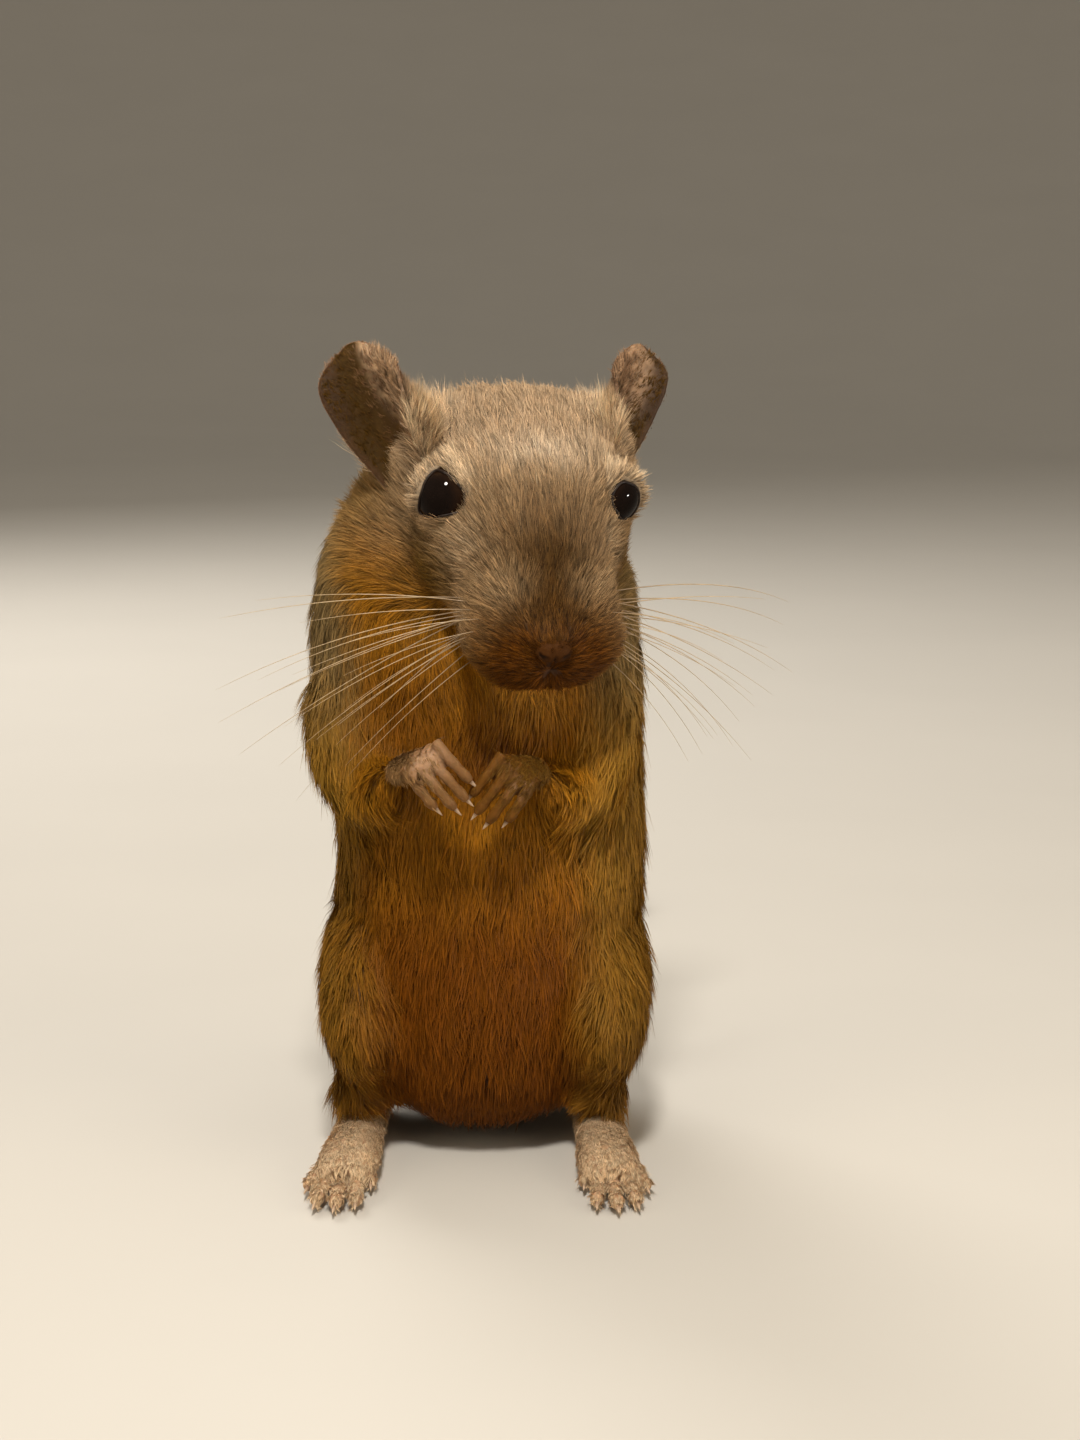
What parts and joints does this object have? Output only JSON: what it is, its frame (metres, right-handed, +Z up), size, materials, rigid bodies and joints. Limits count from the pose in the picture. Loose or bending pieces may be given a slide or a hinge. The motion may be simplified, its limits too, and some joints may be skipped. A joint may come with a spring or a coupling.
{
  "type": "gerbil",
  "caption": "Life-size still model of a gerbil sitting upright, forepaws held at its chest, tail laid on the floor behind it.",
  "frame": {"origin": "middle of the bounding box's bottom, on the floor that the hind feet and tail rest on", "axes": "+Z up, -Y the way the body faces, +X the animal's left"},
  "size_m": [0.0658, 0.1446, 0.0899],
  "materials": {
    "coat": "short dense fur, satin",
    "point": "dark brown hair and nose skin",
    "ear": "thin brown skin with fine hair",
    "bare_skin": "pinkish bare skin",
    "eye": "wet, glossy black"
  },
  "bodies": {
    "root": {"ear_left": "ear", "ear_right": "ear", "eye_left": "eye", "eye_right": "eye", "foot_left": "bare_skin", "foot_right": "bare_skin", "forearm_left": "coat", "forearm_right": "coat", "hand_left": "bare_skin", "hand_right": "bare_skin", "head": "coat", "lower_jaw": "coat", "neck": "coat", "nose": "point", "shin_left": "coat", "shin_right": "coat", "tail_base": "coat", "tail_brush": "point", "tail_middle": "coat", "thigh_left": "coat", "thigh_right": "coat", "torso": "coat", "upper_arm_left": "coat", "upper_arm_right": "coat"}
  },
  "joints": []
}
